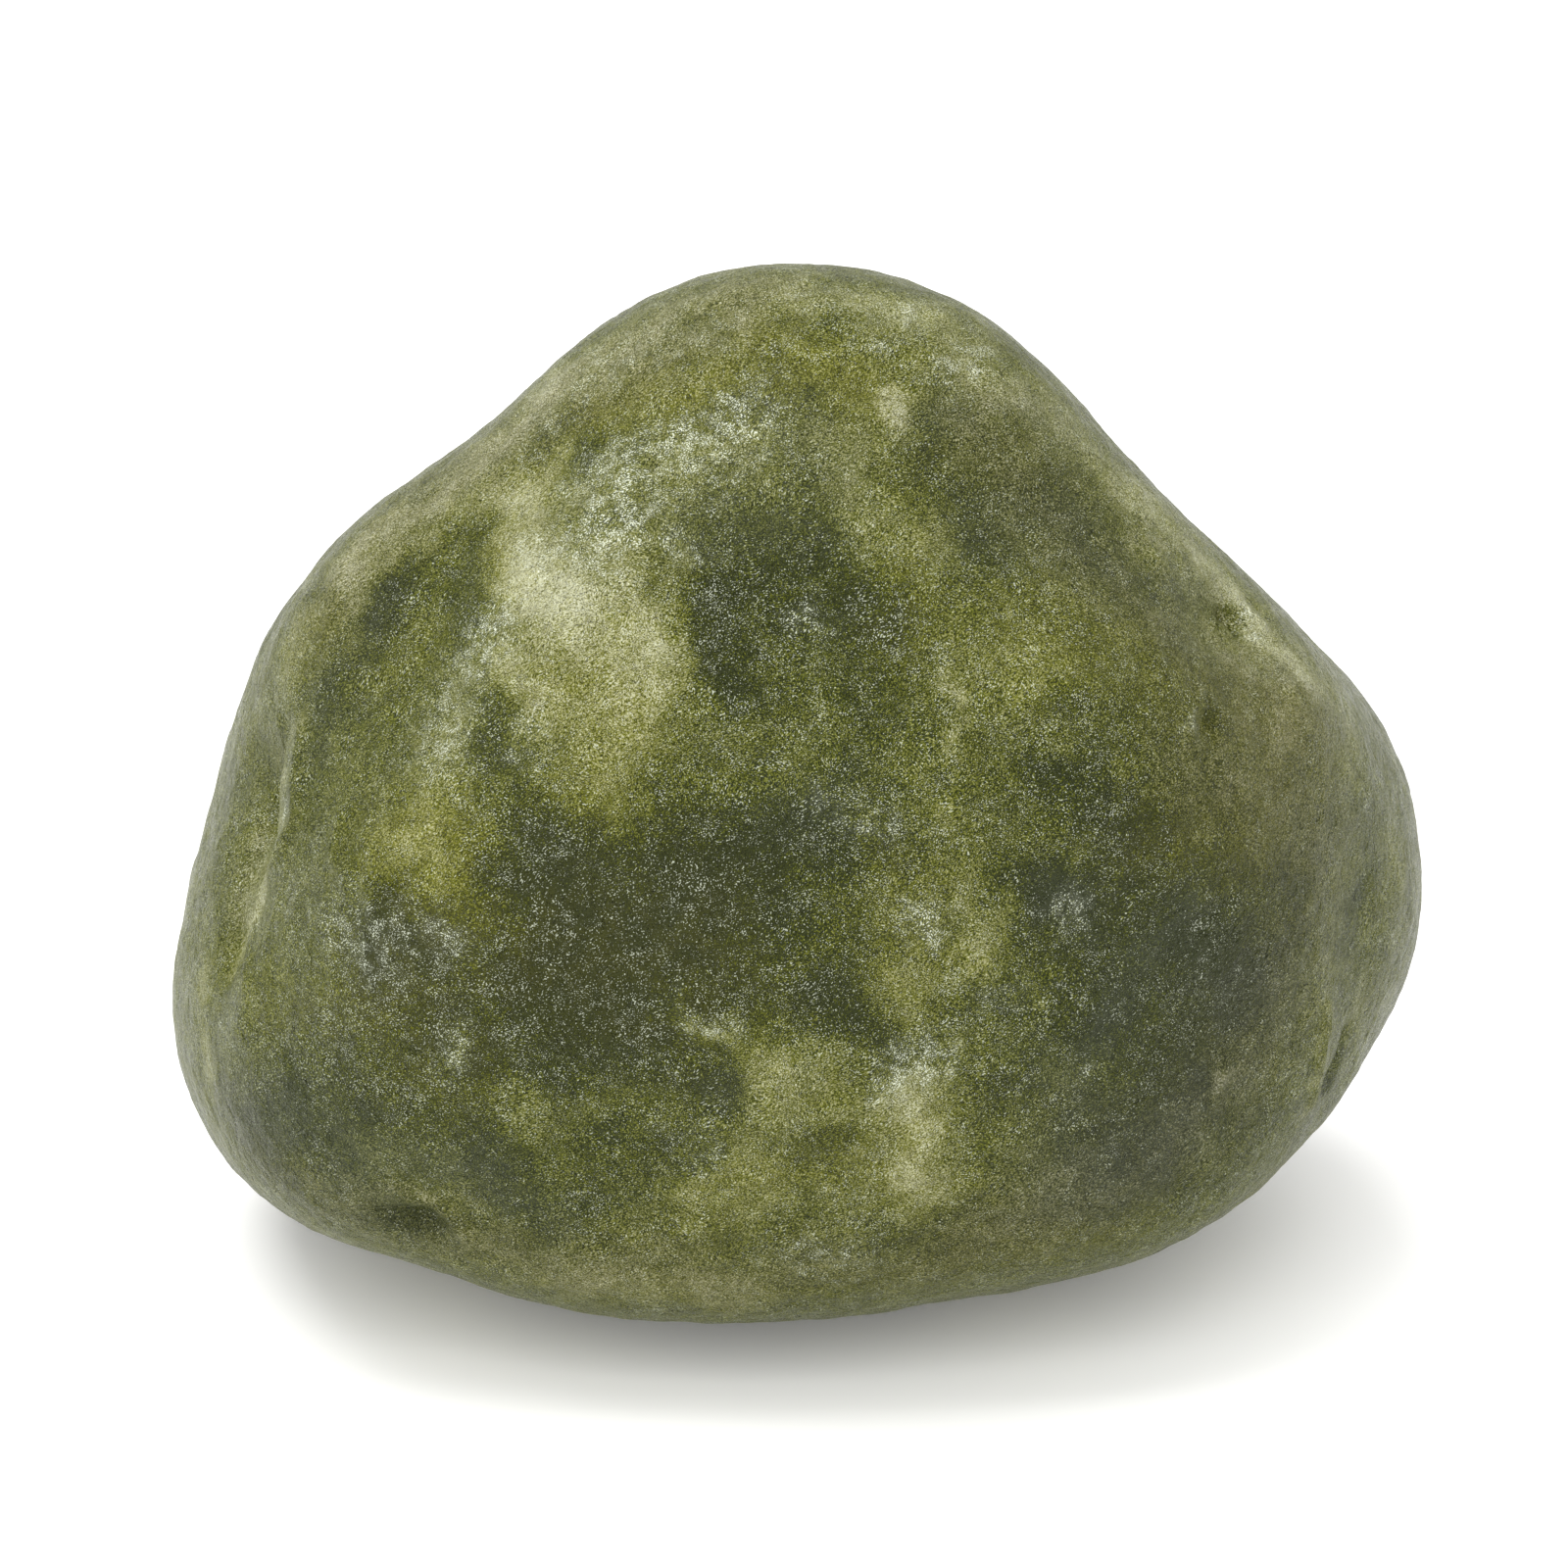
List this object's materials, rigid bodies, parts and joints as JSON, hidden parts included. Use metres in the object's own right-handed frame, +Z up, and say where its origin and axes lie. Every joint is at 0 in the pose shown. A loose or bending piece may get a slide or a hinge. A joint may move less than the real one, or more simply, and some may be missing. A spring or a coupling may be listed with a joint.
{
  "type": "jadeite cobble",
  "caption": "River-worn green jadeite cobble, a rounded natural stone that stands on a small flat spot.",
  "frame": {"origin": "on the ground, under the middle of the stone's box", "axes": "+X to the stone's right as the front is seen, +Y to its back, +Z up"},
  "size_m": [0.0802, 0.0652, 0.0688],
  "materials": {
    "jadeite": "frosted, softly polished by wear"
  },
  "bodies": {
    "root": {"jadeite_stone": "jadeite"}
  },
  "joints": []
}
